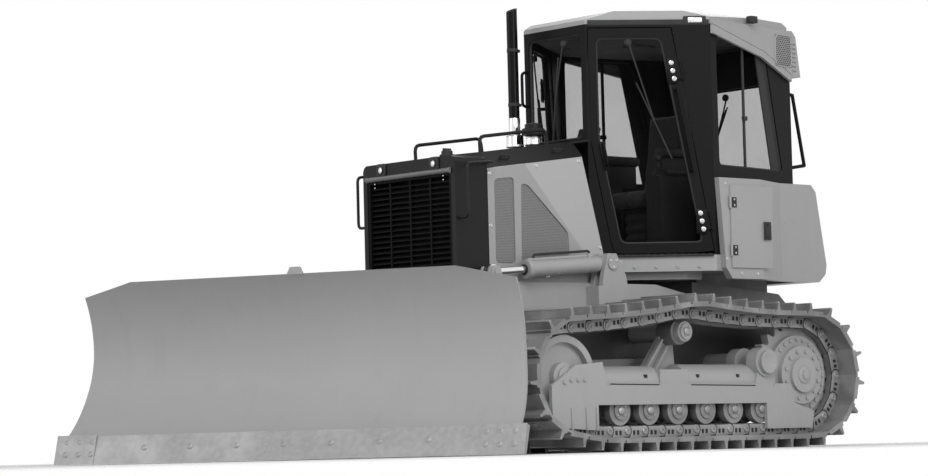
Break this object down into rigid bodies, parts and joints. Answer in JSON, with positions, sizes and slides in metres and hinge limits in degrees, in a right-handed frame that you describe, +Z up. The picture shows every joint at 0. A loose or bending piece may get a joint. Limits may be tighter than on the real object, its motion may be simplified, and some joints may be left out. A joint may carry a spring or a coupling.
{
  "type": "bulldozer",
  "caption": "Tracked bulldozer with an enclosed cab and a six-way blade on a C-frame that lifts, angles and tilts, with opening cab doors.",
  "frame": {"origin": "ground level under the centre of the whole machine's box, blade lowered and angled", "axes": "+X forward along the tracks, +Y to the machine's left, +Z up"},
  "size_m": [5.3706, 3.0313, 3.1008],
  "materials": {
    "body_grey": "satin paint",
    "blade_grey": "satin paint",
    "wear_steel": "worn",
    "track_steel": "worn",
    "dark_paint": "satin paint",
    "cab_black": "satin paint",
    "glass": "clear",
    "trim": "matte",
    "casting": "painted",
    "cylinder_grey": "satin paint",
    "rod_chrome": "polished"
  },
  "bodies": {
    "tractor": {"main_frame": "body_grey", "rear_case": "casting", "engine_block": "casting", "radiator_guard": "dark_paint", "grille": "dark_paint", "hood": "dark_paint", "side_shield_left": "body_grey", "side_shield_right": "body_grey", "exhaust_stack": "dark_paint", "cab_floor": "body_grey", "cab_frame": "cab_black", "roof": "body_grey", "windscreen": "glass", "rear_glass": "glass", "side_glass_left": "glass", "side_glass_right": "glass", "seat": "trim", "console": "trim", "tank": "body_grey", "track_left": "track_steel", "track_right": "track_steel", "track_frame_left": "body_grey", "track_frame_right": "body_grey", "roller_bank_left": "track_steel", "roller_bank_right": "track_steel", "idler_left": "track_steel", "idler_right": "track_steel", "sprocket_left": "body_grey", "sprocket_right": "body_grey"},
    "c_frame": {"c_frame_nose": "body_grey", "push_arm_left": "body_grey", "push_arm_right": "body_grey"},
    "angle_yoke": {"yoke": "body_grey"},
    "blade": {"moldboard": "blade_grey", "cutting_edge": "wear_steel", "blade_back": "body_grey"},
    "lift_barrel_l": {"lift_barrel_left": "cylinder_grey"},
    "lift_barrel_r": {"lift_barrel_right": "cylinder_grey"},
    "lift_rod_l": {"lift_rod_left": "rod_chrome"},
    "lift_rod_r": {"lift_rod_right": "rod_chrome"},
    "angle_barrel_l": {"angle_barrel_left": "cylinder_grey"},
    "angle_barrel_r": {"angle_barrel_right": "cylinder_grey"},
    "angle_rod_l": {"angle_rod_left": "rod_chrome"},
    "angle_rod_r": {"angle_rod_right": "rod_chrome"},
    "tilt_barrel_body": {"tilt_barrel": "cylinder_grey"},
    "tilt_rod_body": {"tilt_rod": "rod_chrome"},
    "left_door": {"door_left": "cab_black", "door_glass_left": "glass"},
    "right_door": {"door_right": "cab_black", "door_glass_right": "glass"},
    "tank_door": {"access_door": "body_grey"}
  },
  "joints": [
    {"name": "blade_lift", "type": "hinge", "parent": "tractor", "child": "c_frame", "pos_m": [-0.90231, -0.23117, 0.55], "axis": [0, -1, 0], "range_deg": [0, 18]},
    {"name": "blade_angle", "type": "hinge", "parent": "c_frame", "child": "angle_yoke", "pos_m": [1.44269, -0.23117, 0.46], "axis": [0, 0, -1], "range_deg": [0, 50]},
    {"name": "blade_tilt", "type": "hinge", "parent": "angle_yoke", "child": "blade", "pos_m": [1.62395, -0.14665, 0.46], "axis": [0.9063, 0.4226, 0], "range_deg": [-6, 6]},
    {"name": "lift_swing_left", "type": "hinge", "parent": "tractor", "child": "lift_barrel_l", "pos_m": [-0.57731, 0.32883, 1.266], "axis": [0, -1, 0], "range_deg": [0, 26.28]},
    {"name": "lift_stroke_left", "type": "slide", "parent": "lift_barrel_l", "child": "lift_rod_l", "axis": [-0.9974, 0, 0.0727], "range_m": [0, 0.20651]},
    {"name": "angle_swing_left", "type": "hinge", "parent": "c_frame", "child": "angle_barrel_l", "pos_m": [0.85769, 0.06883, 0.46], "axis": [0, 0, -1], "range_deg": [0, 3.26]},
    {"name": "lift_swing_right", "type": "hinge", "parent": "tractor", "child": "lift_barrel_r", "pos_m": [-0.57731, -0.79117, 1.266], "axis": [0, -1, 0], "range_deg": [0, 26.28]},
    {"name": "lift_stroke_right", "type": "slide", "parent": "lift_barrel_r", "child": "lift_rod_r", "axis": [-0.9974, 0, 0.0727], "range_m": [0, 0.20651]},
    {"name": "angle_swing_right", "type": "hinge", "parent": "c_frame", "child": "angle_barrel_r", "pos_m": [0.85769, -0.53117, 0.46], "axis": [0, 0, -1], "range_deg": [0, 3.26]},
    {"name": "tilt_swing", "type": "hinge", "parent": "angle_yoke", "child": "tilt_barrel_body", "pos_m": [1.61932, -0.47982, 0.8], "axis": [0.9063, 0.4226, 0], "range_deg": [-3.52, 3.52]},
    {"name": "angle_stroke_left", "type": "slide", "parent": "angle_barrel_l", "child": "angle_rod_l", "axis": [0.9994, 0.0332, 0], "range_m": [0, 0.27937]},
    {"name": "angle_stroke_right", "type": "slide", "parent": "angle_barrel_r", "child": "angle_rod_r", "axis": [-0.9997, -0.0234, 0], "range_m": [0, 0.27937]},
    {"name": "tilt_stroke", "type": "slide", "parent": "tilt_barrel_body", "child": "tilt_rod_body", "axis": [-0.4226, 0.9063, 0], "range_m": [-0.0365, 0.0365]},
    {"name": "left_door_open", "type": "hinge", "parent": "tractor", "child": "left_door", "pos_m": [-1.36359, 0.56004, 1.56], "axis": [0.1366, -0.0923, 0.9863], "range_deg": [0, 85]},
    {"name": "right_door_open", "type": "hinge", "parent": "tractor", "child": "right_door", "pos_m": [-1.36359, -1.02238, 1.56], "axis": [-0.1366, -0.0923, -0.9863], "range_deg": [0, 85]},
    {"name": "tank_door_open", "type": "hinge", "parent": "tractor", "child": "tank_door", "pos_m": [-1.49631, 0.62283, 1.525], "axis": [0, 0, -1], "range_deg": [0, 100]}
  ],
  "couplings": [
    {"joint": "lift_swing_left", "follows": "blade_lift", "ratio": 1.4572},
    {"joint": "lift_stroke_left", "follows": "blade_lift", "m_per_rad": 0.65574},
    {"joint": "angle_swing_left", "follows": "blade_angle", "ratio": 0.06485},
    {"joint": "angle_stroke_left", "follows": "blade_angle", "m_per_rad": 0.31956},
    {"joint": "lift_swing_right", "follows": "blade_lift", "ratio": 1.4572},
    {"joint": "lift_stroke_right", "follows": "blade_lift", "m_per_rad": 0.65574},
    {"joint": "angle_swing_right", "follows": "blade_angle", "ratio": 0.06485},
    {"joint": "angle_stroke_right", "follows": "blade_angle", "m_per_rad": 0.31956},
    {"joint": "tilt_swing", "follows": "blade_tilt", "ratio": 0.58361},
    {"joint": "tilt_stroke", "follows": "blade_tilt", "m_per_rad": -0.33983}
  ]
}
